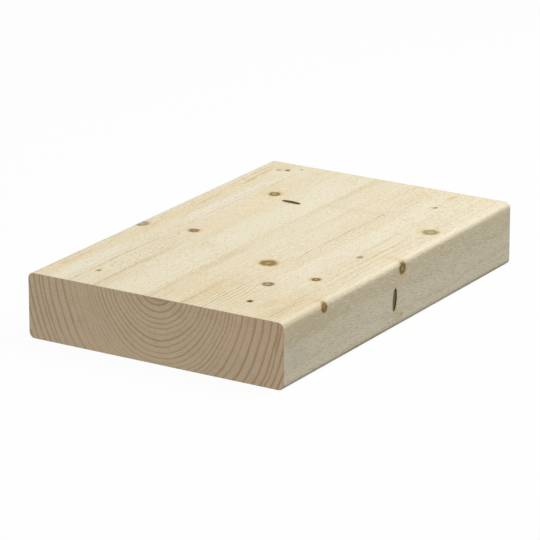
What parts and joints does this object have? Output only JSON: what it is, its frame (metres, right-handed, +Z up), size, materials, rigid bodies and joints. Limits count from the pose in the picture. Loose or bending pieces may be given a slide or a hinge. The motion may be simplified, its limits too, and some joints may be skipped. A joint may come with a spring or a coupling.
{
  "type": "timber plank",
  "caption": "Short straight plank of planed softwood with rounded long edges, square-cut ends, knots and bark pockets, for framing, joists and shelves.",
  "frame": {"origin": "middle of the plank's lower wide face, on the floor that it lies on", "axes": "+X along the grain and the length, +Y across the width, +Z up through the thickness; the near end in the picture is at -X and the long edge seen in it is at -Y"},
  "size_m": [0.3, 0.195, 0.045],
  "materials": {
    "timber": "planed bare softwood, pale cream with light brown latewood lines, brown knots and darker sawn ends"
  },
  "bodies": {
    "root": {"plank": "timber"}
  },
  "joints": []
}
